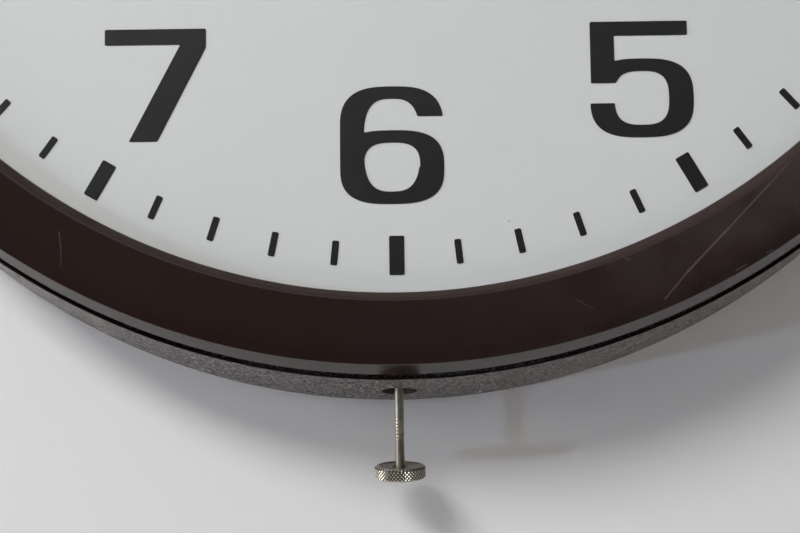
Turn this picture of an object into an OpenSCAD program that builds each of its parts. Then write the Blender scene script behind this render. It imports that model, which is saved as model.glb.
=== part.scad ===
// Round wall clock of the school kind: a flared steel case, a dark moulded bezel with a domed
// lens, a printed dial, an electric movement and a setting rod with a knurled knob at the bottom.
// Every piece is drawn lying on its back: x to the right, y towards twelve o'clock and z from
// the wall towards the viewer. The last lines stand it up against the wall.

/* [Dial] */
// Height of the dial's printed face above the wall
face_z = 33; // [32:0.5:40]
// Radius of the dial plate
dial_r = 170; // [166:0.5:174]
// Thickness of the dial plate
dial_t = 0.8; // [0.6:0.1:1.5]
// Radius of the hole in the dial for the hands' arbors
dial_hole_r = 4.5; // [3.5:0.1:8]
// Thickness of the printed ink
ink_t = 0.1; // [0.05:0.01:0.2]
// Distance from the bezel's opening in to the middle of the minute marks
mark_inset = 9.25; // [8:0.05:12]
// Length of a minute mark
minute_len = 6.1; // [4:0.1:8]
// Width of a minute mark
minute_w = 1.7; // [1:0.1:3]
// Length of a five minute mark
hour_len = 9.7; // [6:0.1:12]
// Width of a five minute mark
hour_w = 3.75; // [2:0.05:5]
// Distance from the middle of the minute marks in to the middle of a numeral with one figure
numeral_inset = 27.3; // [24:0.1:34]
// Distance from the middle of the minute marks in to the middle of a numeral with two figures
numeral_two_inset = 33.3; // [30:0.1:40]

/* [Case] */
// Distance from the dial's edge out to the outside of the case's front rim
rim_gap = 7.2; // [6.8:0.1:10]
// How far the case widens from its front rim to the wall, on the radius
case_flare = 8; // [4:0.1:14]
// Height of the case's front rim above the wall
case_h = 30.5; // [29.5:0.5:34]
// Thickness of the steel sheet
sheet = 1.2; // [0.8:0.1:1.6]
// Radius of the round bend where the side turns into the back
case_bend_r = 2; // [1:0.5:4]
// Radius of the hole in the case's side that the setting rod leaves through
stem_hole_r = 4.7; // [3.5:0.1:7]
// Distance from the outside of the case in to the middle of the pressed ring in the back
bead_inset = 76.2; // [74:0.1:80]
// Depth of the pressed ring
bead_depth = 1.5; // [0.5:0.1:2.5]
// Number of ventilation slots in each group
vents = 5; // [1:1:6]
// Length of a ventilation slot
vent_len = 34; // [20:1:44]
// Width of a ventilation slot
vent_w = 4; // [2:0.5:5]

/* [Hanging] */
// Radius of the keyhole's entry, for the head of a wall screw
hang_r = 5.5; // [4.5:0.1:7]
// Width of the keyhole's slot, for the shank of a wall screw
hang_slot_w = 5; // [4:0.1:6]
// Length of the slot above the entry's middle
hang_slot_len = 11; // [10:0.5:16]
// Width of the hanger plate
hanger_w = 54; // [48:1:80]
// Height of the hanger plate
hanger_h = 38; // [36:1:44]
// Thickness of the hanger plate
hanger_t = 1.6; // [1.2:0.1:3]

/* [Cord inlet] */
// Height of the inlet below the centre of the case
inlet_y = 62; // [58:1:90]
// Radius of the grommet's bore
inlet_r = 4; // [3:0.1:5]
// Radius of the hole that holds the grommet
inlet_hole_r = 6.3; // [5.5:0.1:7.5]
// Depth of the round recess that keeps the grommet clear of the wall
inlet_recess = 2.5; // [2:0.1:4]

/* [Bezel] */
// Distance from the dial's edge in to the bezel's opening, at the foot of its lip
lip_inset = 14.45; // [13.5:0.05:17]
// Height of the lip's foot above the dial's face
lip_foot_h = 1.7; // [1.5:0.05:2.5]
// How far the lip leans out from its foot to its top
lip_lean = 1.85; // [1:0.05:3]
// Height of the top of the lip above the dial's face
lip_top_h = 4.7; // [4:0.1:7]
// How far the bezel's outer edge lies outside the dial's edge
bezel_over = 2.7; // [2:0.1:3.4]
// Height of the outer edge above the dial's face
bezel_edge_h = 3.9; // [3.5:0.1:6]
// Radial gap between the bezel's skirt and the case's rim
skirt_gap = 0.1; // [0.05:0.05:0.6]
// How far the skirt's widest line lies below the dial's face
skirt_drop = 1.7; // [1:0.1:3]
// Wall of the bezel's moulding
bezel_wall = 2; // [1.5:0.1:2.5]

/* [Lens] */
// Thickness of the lens
lens_t = 1.3; // [1:0.1:2]
// Rise of the dome above its flange
lens_rise = 24; // [20:0.5:32]
// Width of the flat flange under the bezel's lip
lens_flange_w = 4.6; // [3:0.1:5]

/* [Hands] */
// Distance from the middle of a numeral in to the tip of the hour hand
hour_tip_inset = 25; // [20:0.5:50]
// Distance from the middle of the minute marks in to the tip of the minute hand
minute_tip_inset = 12.3; // [11:0.1:30]
// Distance from the middle of the minute marks in to the tip of the second hand
second_tip_inset = 26.3; // [24:0.1:40]
// Thickness of the hands
hand_t = 0.5; // [0.3:0.1:0.8]
// Hours shown at rest
rest_hour = 10; // [0:1:11]
// Minutes shown at rest
rest_minute = 10; // [0:1:59]
// Seconds shown at rest
rest_second = 0; // [0:1:59]

/* [Movement] */
// Thickness of the movement's plates
plate_t = 1.2; // [1:0.1:1.5]
// Gap between the dial and the front plate, which holds the motion work
post_h = 4; // [3.8:0.1:6]
// Gap between the two plates, which holds the seconds train
train_h = 8.8; // [8.8:0.1:9.2]
// Radial clearance of a shaft in its bearing
running = 0.06; // [0.03:0.01:0.09]
// Radius of the seconds arbor
second_arbor_r = 1; // [0.9:0.05:1.05]
// Wall of the minute arbor's tube
minute_tube_t = 0.84; // [0.7:0.02:1]
// Wall of the hour wheel's pipe
hour_pipe_t = 1; // [0.6:0.1:1.1]
// Tooth module of the seconds train
train_module = 0.4; // [0.38:0.01:0.42]
// Tooth module of the motion work
motion_module = 0.5; // [0.48:0.01:0.52]
// Radius of the sealed rotor can
can_r = 12.5; // [11:0.1:12.8]
// Height of the sealed rotor can
can_h = 12; // [8:0.5:13]
// Thickness of the stator's stack of laminations
stack_t = 5; // [3:0.5:5]
// Outer radius of the coil
coil_r = 8; // [7:0.1:8.5]

/* [Setting rod] */
// Height of the setting rod's axis above the wall
rod_z = 15; // [14.5:0.5:15.5]
// Radius of the setting rod
rod_r = 1.22; // [1.1:0.02:1.4]
// Distance from the outside of the case down to the top of the knob
knob_drop = 15.8; // [12:0.1:30]
// Radius of the knob
knob_r = 6.9; // [5:0.1:9]
// Thickness of the knob
knob_t = 3.35; // [3:0.05:8]
// Number of knurls round the knob
knurls = 48; // [24:1:60]

/* [Hidden] */
$fn = 96;
eps = 0.01;

// Radii that follow the dial
lip_in_r = dial_r - lip_inset;
lip_top_r = lip_in_r + lip_lean;
bezel_r = dial_r + bezel_over;
mark_r = lip_in_r - mark_inset;
numeral_r = mark_r - numeral_inset;
numeral_two_r = mark_r - numeral_two_inset;
hour_hand_len = numeral_r - hour_tip_inset;
minute_hand_len = mark_r - minute_tip_inset;
second_hand_len = mark_r - second_tip_inset;
case_front_r = dial_r + rim_gap;
case_back_r = case_front_r + case_flare;
knob_y = case_back_r + knob_drop;

// Heights of the dial and of the movement's plates above the wall
dial_back = face_z - dial_t;
front_top = dial_back - post_h;
front_low = front_top - plate_t;
back_top = front_low - train_h;
back_low = back_top - plate_t;

// Teeth of the seconds train, whose last wheel turns once in sixty turns of its first
motor_n = 15;
second_n = 54;
second_pinion_n = 8;
third_n = 60;
third_pinion_n = 8;
clutch_n = 64;
motor_y = train_module * (motor_n + second_n) / 2;
third_x = -train_module * (second_pinion_n + third_n) / 2;
clutch_module = 2 * abs(third_x) / (third_pinion_n + clutch_n);

// Teeth of the motion work, which turns the hour hand once in twelve turns of the minute hand
cannon_n = 15;
minute_n = 45;
minute_pinion_n = 12;
hour_n = 48;
stud_y = -motion_module * (cannon_n + minute_n) / 2;

// Teeth of the setting train from the rod up to the minute wheel
set_n = 20;
crown_n = 20;
rod_pinion_n = 10;
set_y = stud_y - motion_module * (minute_n + set_n) / 2;
crown_module = 0.6;
crown_r = crown_module * crown_n / 2;
crown_face = 1.6;
rod_pinion_r = crown_module * rod_pinion_n / 2;

// Heights of the wheels
wheel_t = 0.8;
second_wheel_z = back_top + 1.2;
third_wheel_z = back_top + 3.7;
second_pinion_z = third_wheel_z - 0.6;
second_pinion_t = 1.8;
minute_collar_z = second_pinion_z + second_pinion_t + 0.3;
minute_collar_t = 0.8;
clutch_z = minute_collar_z + minute_collar_t + 0.2;
third_pinion_z = clutch_z - 0.4;
third_pinion_t = 2;
motion_t = 1.2;
motion_low = front_top + 0.5;
motion_high = motion_low + motion_t + 0.2;

// Radii of the shafts that turn inside each other
minute_in_r = second_arbor_r + running;
minute_out_r = minute_in_r + minute_tube_t;
hour_in_r = minute_out_r + running;
hour_out_r = hour_in_r + hour_pipe_t;
third_arbor_r = 0.8;
set_arbor_r = 1.2;
stud_r = 1.2;

// Heights of the hands
hour_hand_z = face_z + 1.8;
hour_pipe_top = hour_hand_z + 1.6;
minute_hand_z = hour_pipe_top + 0.8;
hand_nut_z = minute_hand_z + 1.2;
hand_nut_t = 1.2;
second_hand_z = hand_nut_z + hand_nut_t + 0.6;
second_boss_t = 1.4;
hour_tail = 22;
minute_tail = 28;
second_tail = 40;
second_half_w = 1;
second_disc_r = 5;

// Places of the movement's pillars and posts
pillar_x = 23;
pillar_top_y = 32;
pillar_low_y = -17;
post_x = 27;
post_top_y = 56;
post_drop = 12.75;
post_low_y = set_y - post_drop;
pillar_spots = [for (sx = [-1, 1], y = [pillar_low_y, pillar_top_y]) [sx * pillar_x, y]];
post_spots = [for (sx = [-1, 1], y = [post_low_y, post_top_y]) [sx * post_x, y]];

// The stator surrounds the can and carries the coil above it
pole_gap = 0.3;
stator_w = 38;
stator_low_y = motor_y - can_r - pole_gap - 4;
window_w = 24;
window_low_y = motor_y + can_r + pole_gap + 3.4;
window_h = 14;
leg_h = 8;
coil_y = window_low_y + window_h + leg_h / 2;
coil_z = back_low - stack_t / 2;
stator_screw_x = stator_w / 2 - 3.5;
stator_spots = [for (sx = [-1, 1], y = [stator_low_y + 3, window_low_y - 2.5])
  [sx * stator_screw_x, y]];

// The dial's posts and the bezel's clips are hidden under the bezel
seat_r = lip_in_r + lens_flange_w + 0.25;
seat_w = 2;
dial_screw_r = 1.6;
dial_screw_len = 7;
dial_screw_head_r = 2.9;
dial_screw_head_t = 1.3;
dial_post_r = seat_r + seat_w + 3.6;
dial_post_a = [45, 135, 225, 315];
clip_a = [20, 110, 200, 290];
clip_w = 10;
clip_t = 0.6;
clip_out_r = dial_r + 1.8;
clip_screw_r = dial_r - 2.6;
bezel_under = face_z + lip_top_h - bezel_wall - 0.8;
gasket_t = 0.4;
lens_r = lip_in_r - 0.35;
flange_z = face_z + gasket_t;
flange_r = seat_r - 0.2;
lens_curve_r = (lens_r * lens_r + lens_rise * lens_rise) / (2 * lens_rise);

// The rod's bearings
bracket_y = set_y - crown_r - crown_face / 2 - 4.2;
guide_inset = 35.2;
guide_y = guide_inset - case_back_r;
bearing_t = 1.2;
rod_top_y = set_y - crown_r + crown_face / 2 + 0.6;
block_y = -inlet_y - 4;
block_x = -36;
block_w = 24;
block_d = 12;
block_h = 10;
lead_r = 0.8;
lead_z = coil_z - coil_r + 0.8;

// A squarish oval: half width a, half height b, corner height c and roundness n
function squarish(a, b, c, n) = [for (i = [0:47]) let (t = i * 7.5 + 0.01, cs = cos(t), sn = sin(t))
  [a * sign(cs) * pow(abs(cs), 2 / n), sign(sn) * ((b - c) + c * pow(abs(sn), 2 / n))]];

// A tooth is a narrowing block between the root and the tip
function tooth(n, m, i, phase, root_w, tip_w) = let (p = 360 / n, a = phase + i * p,
    r0 = m * (n / 2 - 1.05), r1 = m * (n / 2 + 0.75))
  [[r0, a - p * root_w], [r1, a - p * tip_w], [r1, a + p * tip_w], [r0, a + p * root_w]];

module gear_shape(n, m, phase, root_w, tip_w) {
  polygon([for (i = [0:n - 1]) for (q = tooth(n, m, i, phase, root_w, tip_w))
    [q[0] * cos(q[1]), q[0] * sin(q[1])]]);
}

module gear(n, m, phase, z, t, bore, root_w = 0.3, tip_w = 0.11) {
  translate([0, 0, z]) linear_extrude(t) difference() {
    gear_shape(n, m, phase, root_w, tip_w);
    circle(r = bore);
  }
}

module disc(r, z, t) { translate([0, 0, z]) cylinder(r = r, h = t); }

module ring(outer, inner, z, t) {
  difference() {
    disc(outer, z, t);
    disc(inner, z - 1, t + 2);
  }
}

module plate(x0, x1, y0, y1, z, t, corner) {
  translate([0, 0, z]) linear_extrude(t) union() {
    translate([x0 + corner, y0]) square([x1 - x0 - 2 * corner, y1 - y0]);
    translate([x0, y0 + corner]) square([x1 - x0, y1 - y0 - 2 * corner]);
    for (x = [x0 + corner, x1 - corner], y = [y0 + corner, y1 - corner])
      translate([x, y]) circle(r = corner);
  }
}

module at(spots) { for (s = spots) translate([s[0], s[1], 0]) children(); }

// A screw with a round head whose top looks up, standing with its head's seat at z
module screw(r, shank, head_r, head_t, z) {
  translate([0, 0, z]) difference() {
    union() {
      translate([0, 0, -shank]) cylinder(r = r, h = shank);
      cylinder(r = head_r, h = head_t);
    }
    translate([-head_r - 1, -0.3, head_t * 0.5]) cube([2 * head_r + 2, 0.6, head_t]);
  }
}

// The same screw seen from behind, its head below z
module screw_from_back(r, shank, head_r, head_t, z) {
  translate([0, 0, z]) mirror([0, 0, 1]) screw(r, shank, head_r, head_t, 0);
}

// Case
bead_r = case_back_r - bead_inset;
bead_half_w = 2.5;
bead_foot = 5.6;
seam_r = case_back_r - case_bend_r;
seam_gap = 0.1;

module case_back_profile() {
  polygon([[0, 0], [bead_r - bead_foot + 0.6, 0], [bead_r - bead_half_w, bead_depth],
    [bead_r + bead_half_w, bead_depth], [bead_r + bead_foot - 0.6, 0], [seam_r - seam_gap, 0],
    [seam_r - seam_gap, sheet], [bead_r + bead_foot, sheet],
    [bead_r + bead_half_w + 0.5, bead_depth + sheet],
    [bead_r - bead_half_w - 0.5, bead_depth + sheet], [bead_r - bead_foot, sheet], [0, sheet]]);
}

module case_side_profile() {
  polygon(concat(
    [for (a = [-90:15:0]) [seam_r + case_bend_r * cos(a), case_bend_r * (1 + sin(a))]],
    [[case_front_r, case_h - 0.4], [case_front_r - 0.4, case_h],
     [case_front_r - sheet + 0.3, case_h], [case_front_r - sheet, case_h - 0.3]],
    [for (a = [0:-15:-90]) [seam_r + (case_bend_r - sheet) * cos(a),
       case_bend_r + (case_bend_r - sheet) * sin(a)]]));
}

module keyhole(grow) {
  circle(r = hang_r + grow);
  translate([-hang_slot_w / 2 - grow, 0])
    square([hang_slot_w + 2 * grow, hang_slot_len - hang_slot_w / 2]);
  translate([0, hang_slot_len - hang_slot_w / 2]) circle(r = hang_slot_w / 2 + grow);
}

hanger_gap = 1.4;
hanger_low = bead_r + bead_foot + hanger_gap;
hang_y = hanger_low + hanger_h / 2 - 1;
rivet_r = 1.8;
hanger_spots = [for (sx = [-1, 1], sy = [-1, 1])
  [sx * (hanger_w / 2 - 6), hanger_low + hanger_h / 2 + sy * (hanger_h / 2 - 6)]];
guide_w = 22;
guide_spots = [for (sx = [-1, 1]) [sx * (guide_w / 2 - 4), guide_y - 6]];

vent_inset = 27;
vent_x = bead_r - vent_inset;

module vent_group(side) {
  for (i = [0:vents - 1])
    translate([side * vent_x, (i - (vents - 1) / 2) * 2.4 * vent_w, -1]) linear_extrude(sheet + 2) {
      square([vent_len - vent_w, vent_w], center = true);
      for (sx = [-1, 1]) translate([sx * (vent_len - vent_w) / 2, 0]) circle(r = vent_w / 2);
    }
}

module case_back() {
  color("dimgray") difference() {
    union() {
      rotate_extrude($fn = 256) case_back_profile();
      translate([0, -inlet_y, 0]) disc(inlet_hole_r + 7.5, sheet, inlet_recess);
    }
    translate([0, -inlet_y, 0]) {
      disc(inlet_hole_r + 6, -1, inlet_recess + 1);
      disc(inlet_hole_r, -1, inlet_recess + sheet + 2);
    }
    translate([0, hang_y, -1]) linear_extrude(sheet + 2) keyhole(2.5);
    at(hanger_spots) disc(rivet_r, -1, sheet + 2);
    at(guide_spots) disc(rivet_r, -1, sheet + 2);
    vent_group(-1);
    vent_group(1);
  }
}

module case_side() {
  color("dimgray") difference() {
    rotate_extrude($fn = 256) case_side_profile();
    translate([0, -case_front_r + 6, rod_z]) rotate([90, 0, 0]) cylinder(r = stem_hole_r, h = 20);
  }
}

module hanger_plate() {
  color("silver") difference() {
    plate(-hanger_w / 2, hanger_w / 2, hanger_low, hanger_low + hanger_h, sheet, hanger_t, 4);
    translate([0, hang_y, sheet - 1]) linear_extrude(hanger_t + 2) keyhole(0);
    at(hanger_spots) disc(rivet_r, 0, sheet + hanger_t + 1);
  }
}

module hanger_rivets() {
  color("gainsboro") at(hanger_spots) {
    disc(rivet_r, 0, sheet + hanger_t);
    disc(rivet_r + 1.4, sheet + hanger_t, 1.1);
  }
}

module cord_grommet() {
  flange = inlet_hole_r + 3;
  color("black") translate([0, -inlet_y, 0]) difference() {
    union() {
      disc(flange, inlet_recess - 1.8, 1.8);
      disc(inlet_hole_r, inlet_recess - eps, sheet + 2 * eps);
      disc(flange - 0.6, inlet_recess + sheet, 1.8);
    }
    disc(inlet_r, -1, inlet_recess + sheet + 4);
  }
}

module dial_posts() {
  color("silver") for (a = dial_post_a) rotate([0, 0, a]) translate([dial_post_r, 0, 0])
    difference() {
      union() {
        disc(6, sheet, 1.4);
        disc(4, sheet, dial_back - sheet);
      }
      disc(dial_screw_r, dial_back - dial_screw_len - 2, dial_screw_len + 3);
    }
}

// Dial
module dial() {
  color("whitesmoke") difference() {
    disc(dial_r, dial_back, dial_t);
    disc(dial_hole_r, dial_back - 1, dial_t + 2);
    for (a = dial_post_a) rotate([0, 0, a]) translate([dial_post_r, 0, 0])
      disc(dial_screw_r + 0.2, dial_back - 1, dial_t + 2);
  }
}

module dial_screws() {
  color("silver") for (a = dial_post_a) rotate([0, 0, a]) translate([dial_post_r, 0, 0])
    screw(dial_screw_r, dial_t + dial_screw_len, dial_screw_head_r, dial_screw_head_t, face_z);
}

module dial_marks() {
  color("black") translate([0, 0, face_z]) linear_extrude(ink_t) for (i = [0:59])
    rotate([0, 0, i * 6]) translate([0, mark_r])
      if (i % 5 == 0) square([hour_w, hour_len], center = true);
      else square([minute_w, minute_len], center = true);
}

// Figures, each drawn about its own middle, with thick uprights and thin level strokes
fig_a = 12.9;
fig_b = 14.7;
fig_in_a = 6.95;
stroke = 3.1;
bar = 3.7;
upright = 6;
cap_h = 14.2;

module oval_ring(cx, cy, a, b, c, in_a, in_b) {
  translate([cx, cy]) difference() {
    polygon(squarish(a, b, c, 2.9));
    polygon(squarish(in_a, in_b, min(c, in_b), 2.9));
  }
}

module block(x0, x1, y0, y1) { translate([x0, y0]) square([x1 - x0, y1 - y0]); }

module figure_0() { oval_ring(0, 0, fig_a, fig_b, 11, fig_in_a, fig_b - stroke); }

module figure_1() {
  polygon([[-1.4, -cap_h], [upright - 1.4, -cap_h], [upright - 1.4, cap_h], [-0.4, cap_h],
    [-8.6, cap_h - 5.6], [-8.6, cap_h - 10.4], [-1.4, cap_h - 5.8]]);
}

module figure_2() {
  difference() {
    oval_ring(0, 6.45, 12.6, 8.25, 8.25, 6.7, 5.15);
    block(-15, 0.5, -0.6, 7.4);
  }
  intersection() {
    oval_ring(0, -6.9, 12.6, 8.2, 8.2, 6.7, 5.1);
    block(-15, 1, -6.9, 2);
  }
  block(-12.6, -6.6, -cap_h, -6.8);
  block(-12.6, 12.6, -cap_h, -cap_h + bar);
}

module figure_3() {
  difference() {
    union() {
      oval_ring(-0.3, 6.45, 12.3, 8.25, 8.25, 6.4, 5.15);
      oval_ring(0, -6.6, 12.8, 8.2, 8.2, 6.8, 5.1);
    }
    block(-15, -4.6, -7.4, 7.4);
  }
}

module figure_4() {
  difference() {
    polygon([[3.2, -cap_h], [9.2, -cap_h], [9.2, -8.6], [13, -8.6], [13, -8.6 + bar],
      [9.2, -8.6 + bar], [9.2, cap_h], [1.2, cap_h], [-13.4, -4.4], [-13.4, -8.6],
      [3.2, -8.6]]);
    polygon([[3.2, -8.6 + bar], [3.2, 9.6], [-8, -8.6 + bar]]);
  }
}

module figure_5() {
  block(-10.7, 13.5, 10.8, 14.4);
  block(-10.7, -4.75, -1.1, 14.4);
  difference() {
    oval_ring(1.85, -4.9, 12.85, 9.9, 9.9, 6.75, 6.75);
    block(-15, 2, -6.15, -1.1);
  }
}

module figure_6() {
  translate([-0.85, 0]) {
    difference() {
      oval_ring(0, 0.1, fig_a, fig_b, 11, fig_in_a, fig_b - stroke);
      block(0, 15, -5.4, 7.2);
    }
    oval_ring(0, -5.4, fig_a, 9.2, 9.2, fig_in_a, 6.1);
  }
}

module figure_7() {
  polygon([[-12.6, 14.1], [12.6, 14.1], [12.6, 9.3], [0.5, -14.2], [-6.6, -14.2],
    [6.2, 10.1], [-12.6, 10.1]]);
}

module figure_8() {
  oval_ring(0, 6.5, 12, 8.2, 8.2, 6.3, 5.1);
  oval_ring(0, -6.4, 12.9, 8.3, 8.3, fig_in_a, 5.2);
}

module figure_9() { rotate(180) figure_6(); }

module place_figure(hour, r) {
  translate([r * sin(30 * hour), r * cos(30 * hour)]) children();
}

module dial_numerals() {
  color("black") translate([0, 0, face_z]) linear_extrude(ink_t) {
    place_figure(1, numeral_r) figure_1();
    place_figure(2, numeral_r) figure_2();
    place_figure(3, numeral_r) figure_3();
    place_figure(4, numeral_r) figure_4();
    place_figure(5, numeral_r) figure_5();
    place_figure(6, numeral_r) figure_6();
    place_figure(7, numeral_r) figure_7();
    place_figure(8, numeral_r) figure_8();
    place_figure(9, numeral_r) figure_9();
    place_figure(10, numeral_two_r) {
      translate([-13.5, 0]) figure_1();
      translate([8, 0]) figure_0();
    }
    place_figure(11, numeral_two_r) {
      translate([-6, 0]) figure_1();
      translate([10, 0]) figure_1();
    }
    place_figure(12, numeral_r) {
      translate([-13.5, 0]) figure_1();
      translate([8, 0]) figure_2();
    }
  }
}

// Bezel and lens
skirt_r = case_front_r - sheet - skirt_gap;
skirt_z = face_z - skirt_drop;

module bezel() {
  top = face_z + lip_top_h;
  edge = face_z + bezel_edge_h;
  color([0.2, 0.11, 0.11]) rotate_extrude($fn = 256) polygon([
    [lip_in_r, face_z + lip_foot_h], [lip_in_r + 0.15, face_z + lip_foot_h + 0.3],
    [lip_top_r - 0.5, top - 0.4], [lip_top_r, top - 0.08], [lip_top_r + 0.5, top],
    [bezel_r - 6, top - 0.12], [bezel_r - 3, top - 0.3], [bezel_r - 1.2, top - 0.55],
    [bezel_r, edge], [bezel_r + 0.5, edge - 0.8], [skirt_r, skirt_z], [skirt_r - 0.4, skirt_z - 5],
    [skirt_r - bezel_wall, skirt_z - 5], [skirt_r - bezel_wall, skirt_z],
    [clip_out_r + 0.2, bezel_under],
    [seat_r + seat_w, bezel_under], [seat_r + seat_w, face_z], [seat_r, face_z],
    [seat_r, face_z + lip_foot_h]]);
}

module lens() {
  centre_z = flange_z + lens_rise - lens_curve_r;
  steps = 28;
  rim_a = asin(lens_r / lens_curve_r);
  color([0.85, 0.9, 0.92, 0.35]) rotate_extrude($fn = 256) polygon(concat(
    [for (i = [0:steps]) let (a = rim_a * i / steps)
      [lens_curve_r * sin(a), centre_z + lens_curve_r * cos(a)]],
    [[flange_r, flange_z], [flange_r, flange_z + lens_t]],
    [for (i = [steps:-1:0]) let (a = rim_a * i / steps, r = lens_curve_r + lens_t)
      [min(r * sin(a), lens_r), centre_z + r * cos(a)]]));
}

module lens_gasket() {
  color("darkslategray") ring(flange_r, lip_in_r + 0.6, face_z, gasket_t);
}

module bezel_clips() {
  color("lightgray") for (a = clip_a) rotate([0, 0, a]) difference() {
    translate([0, clip_w / 2, 0]) rotate([90, 0, 0]) linear_extrude(clip_w) polygon([
      [clip_screw_r - 2.8, bezel_under], [clip_screw_r - 2.8, bezel_under - clip_t],
      [clip_out_r - clip_t, bezel_under - clip_t], [clip_out_r - clip_t, dial_back - 0.1],
      [dial_r - 0.8, dial_back - 0.1], [dial_r - 0.8, dial_back - 0.5],
      [clip_out_r - clip_t, dial_back - 1.2], [clip_out_r, dial_back - 1.2],
      [clip_out_r, bezel_under]]);
    translate([clip_screw_r, 0, 0]) disc(1, bezel_under - clip_t - 1, clip_t + 2);
  }
}

module clip_screws() {
  color("silver") for (a = clip_a) rotate([0, 0, a]) translate([clip_screw_r, 0, 0])
    screw_from_back(1, clip_t, 2, 1, bezel_under - clip_t);
}

// Movement frame
module movement_posts() {
  color("gold") at(post_spots) difference() {
    disc(3, front_top, post_h);
    disc(1.25, front_top - 1, 3.5);
  }
}

module movement_screws() {
  color("silver") at(post_spots) screw_from_back(1.25, plate_t + 2.4, 2.4, 1.5, front_low);
}

module front_plate() {
  color("goldenrod") difference() {
    plate(-post_x - 5, post_x + 5, post_low_y - 5, post_top_y + 5, front_low, plate_t, 4);
    disc(hour_out_r + 1, 0, face_z);
    translate([third_x, 0, 0]) disc(third_arbor_r + running, 0, face_z);
    translate([0, stud_y, 0]) disc(stud_r, 0, face_z);
    translate([0, set_y, 0]) disc(set_arbor_r + 1.8, 0, face_z);
    at(pillar_spots) disc(1.25, 0, face_z);
    at(post_spots) disc(1.25, 0, face_z);
    at(bracket_spots) disc(1, 0, face_z);
  }
}

module back_plate() {
  color("goldenrod") difference() {
    plate(-pillar_x - 5, pillar_x + 5, pillar_low_y - 5, pillar_top_y + 5, back_low, plate_t, 4);
    disc(second_arbor_r + 2, 0, face_z);
    translate([third_x, 0, 0]) disc(third_arbor_r + running, 0, face_z);
    translate([0, motor_y, 0]) disc(5, 0, face_z);
    at(pillar_spots) disc(1.25, 0, face_z);
    at(stator_spots) disc(1, 0, face_z);
  }
}

module plate_pillars() {
  color("gold") at(pillar_spots) difference() {
    disc(2.5, back_top, train_h);
    disc(1.25, back_top - 1, 4);
    disc(1.25, front_low - 3, 4);
  }
}

module pillar_screws() {
  color("silver") at(pillar_spots) {
    screw_from_back(1.25, plate_t + 2.5, 2.3, 1.4, back_low);
    screw(1.25, plate_t + 2.5, 2.3, 1.4, front_top);
  }
}

module centre_bush() {
  color("goldenrod") difference() {
    union() {
      disc(hour_out_r + 1, front_low, plate_t);
      disc(hour_out_r + 1.6, front_low - 0.5, 0.5);
    }
    disc(minute_out_r + running, front_low - 1, plate_t + 2);
  }
}

module rear_bush() {
  color("goldenrod") ring(second_arbor_r + 2, second_arbor_r + running, back_low, plate_t);
}

module minute_stud() {
  color("silver") translate([0, stud_y, 0]) {
    disc(stud_r, front_low, motion_high + motion_t - front_low + 0.1);
    disc(stud_r + 0.9, motion_high + motion_t + 0.1, 0.5);
  }
}

module set_bush() {
  color("goldenrod") translate([0, set_y, 0]) difference() {
    union() {
      disc(set_arbor_r + 1.8, front_low, plate_t);
      disc(set_arbor_r + 2.6, front_low - 3, 3);
    }
    disc(set_arbor_r + running, front_low - 4, plate_t + 5);
  }
}

// Motor
module stator_core() {
  top = coil_y + leg_h / 2;
  color("slategray") difference() {
    plate(-stator_w / 2, stator_w / 2, stator_low_y, top, back_low - stack_t, stack_t, 1.5);
    translate([0, motor_y, 0]) disc(can_r + pole_gap, 0, face_z);
    translate([-1, stator_low_y - 1, 0]) cube([2, 6, face_z]);
    translate([-window_w / 2, window_low_y, 0]) cube([window_w, window_h, face_z]);
    at(stator_spots) disc(1, 0, face_z);
  }
}

module stator_screws() {
  color("silver") at(stator_spots)
    screw_from_back(1, stack_t + plate_t, 2, 1.2, back_low - stack_t);
}

module along_coil(x0, x1) {
  translate([x0, coil_y, coil_z]) rotate([0, 90, 0]) linear_extrude(x1 - x0) children();
}

module coil_bobbin() {
  half = window_w / 2 - 0.4;
  color("ivory") difference() {
    union() {
      for (x = [-half, half - 1.2]) along_coil(x, x + 1.2) circle(r = coil_r + 0.4);
      along_coil(-half, half) square([stack_t + 2, leg_h + 2], center = true);
    }
    along_coil(-half - 1, half + 1) square([stack_t + 0.1, leg_h + 0.1], center = true);
  }
}

module coil_winding() {
  half = window_w / 2 - 0.4 - 1.2;
  color("sienna") along_coil(-half, half) difference() {
    circle(r = coil_r);
    square([stack_t + 2, leg_h + 2], center = true);
  }
}

module rotor_can() {
  color("darkgoldenrod") translate([0, motor_y, 0]) difference() {
    union() {
      disc(can_r, back_low - can_h, can_h - 0.8);
      disc(can_r - 1.2, back_low - 0.8, 0.8);
      disc(4, back_low, 0.9);
    }
    disc(1.4 + running, back_low - 4, 6);
  }
}

module coil_leads() {
  half = window_w / 2 - 0.4;
  color("darkred") for (i = [0, 1]) {
    y = coil_y - 1.5 + 3 * i;
    x = block_x + 2.5 - 5 * i;
    translate([x, y, lead_z]) rotate([0, 90, 0]) cylinder(r = lead_r, h = -half - x);
    translate([x, y, lead_z]) sphere(r = lead_r, $fn = 32);
    translate([x, y, lead_z]) rotate([90, 0, 0]) cylinder(r = lead_r, h = y - block_y);
  }
}

module terminal_block() {
  color("burlywood") difference() {
    translate([block_x - block_w / 2, block_y - block_d, sheet]) cube([block_w, block_d, block_h]);
    for (i = [0, 1]) translate([block_x + 2.5 - 5 * i, block_y - block_d / 2, 0])
      disc(1.2, sheet + block_h - 3, 5);
  }
}

module terminal_screws() {
  color("gold") for (i = [0, 1]) translate([block_x + 2.5 - 5 * i, block_y - block_d / 2, 0])
    screw(1.2, 3, 2.2, 1.2, sheet + block_h);
}

// Seconds train
module second_arbor() {
  color("silver") {
    disc(second_arbor_r, back_low + 0.2, second_hand_z + second_boss_t - back_low - 0.2);
    gear(second_pinion_n, train_module, 180, second_pinion_z, second_pinion_t,
      second_arbor_r - 0.2, 0.26, 0.09);
  }
}

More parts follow.
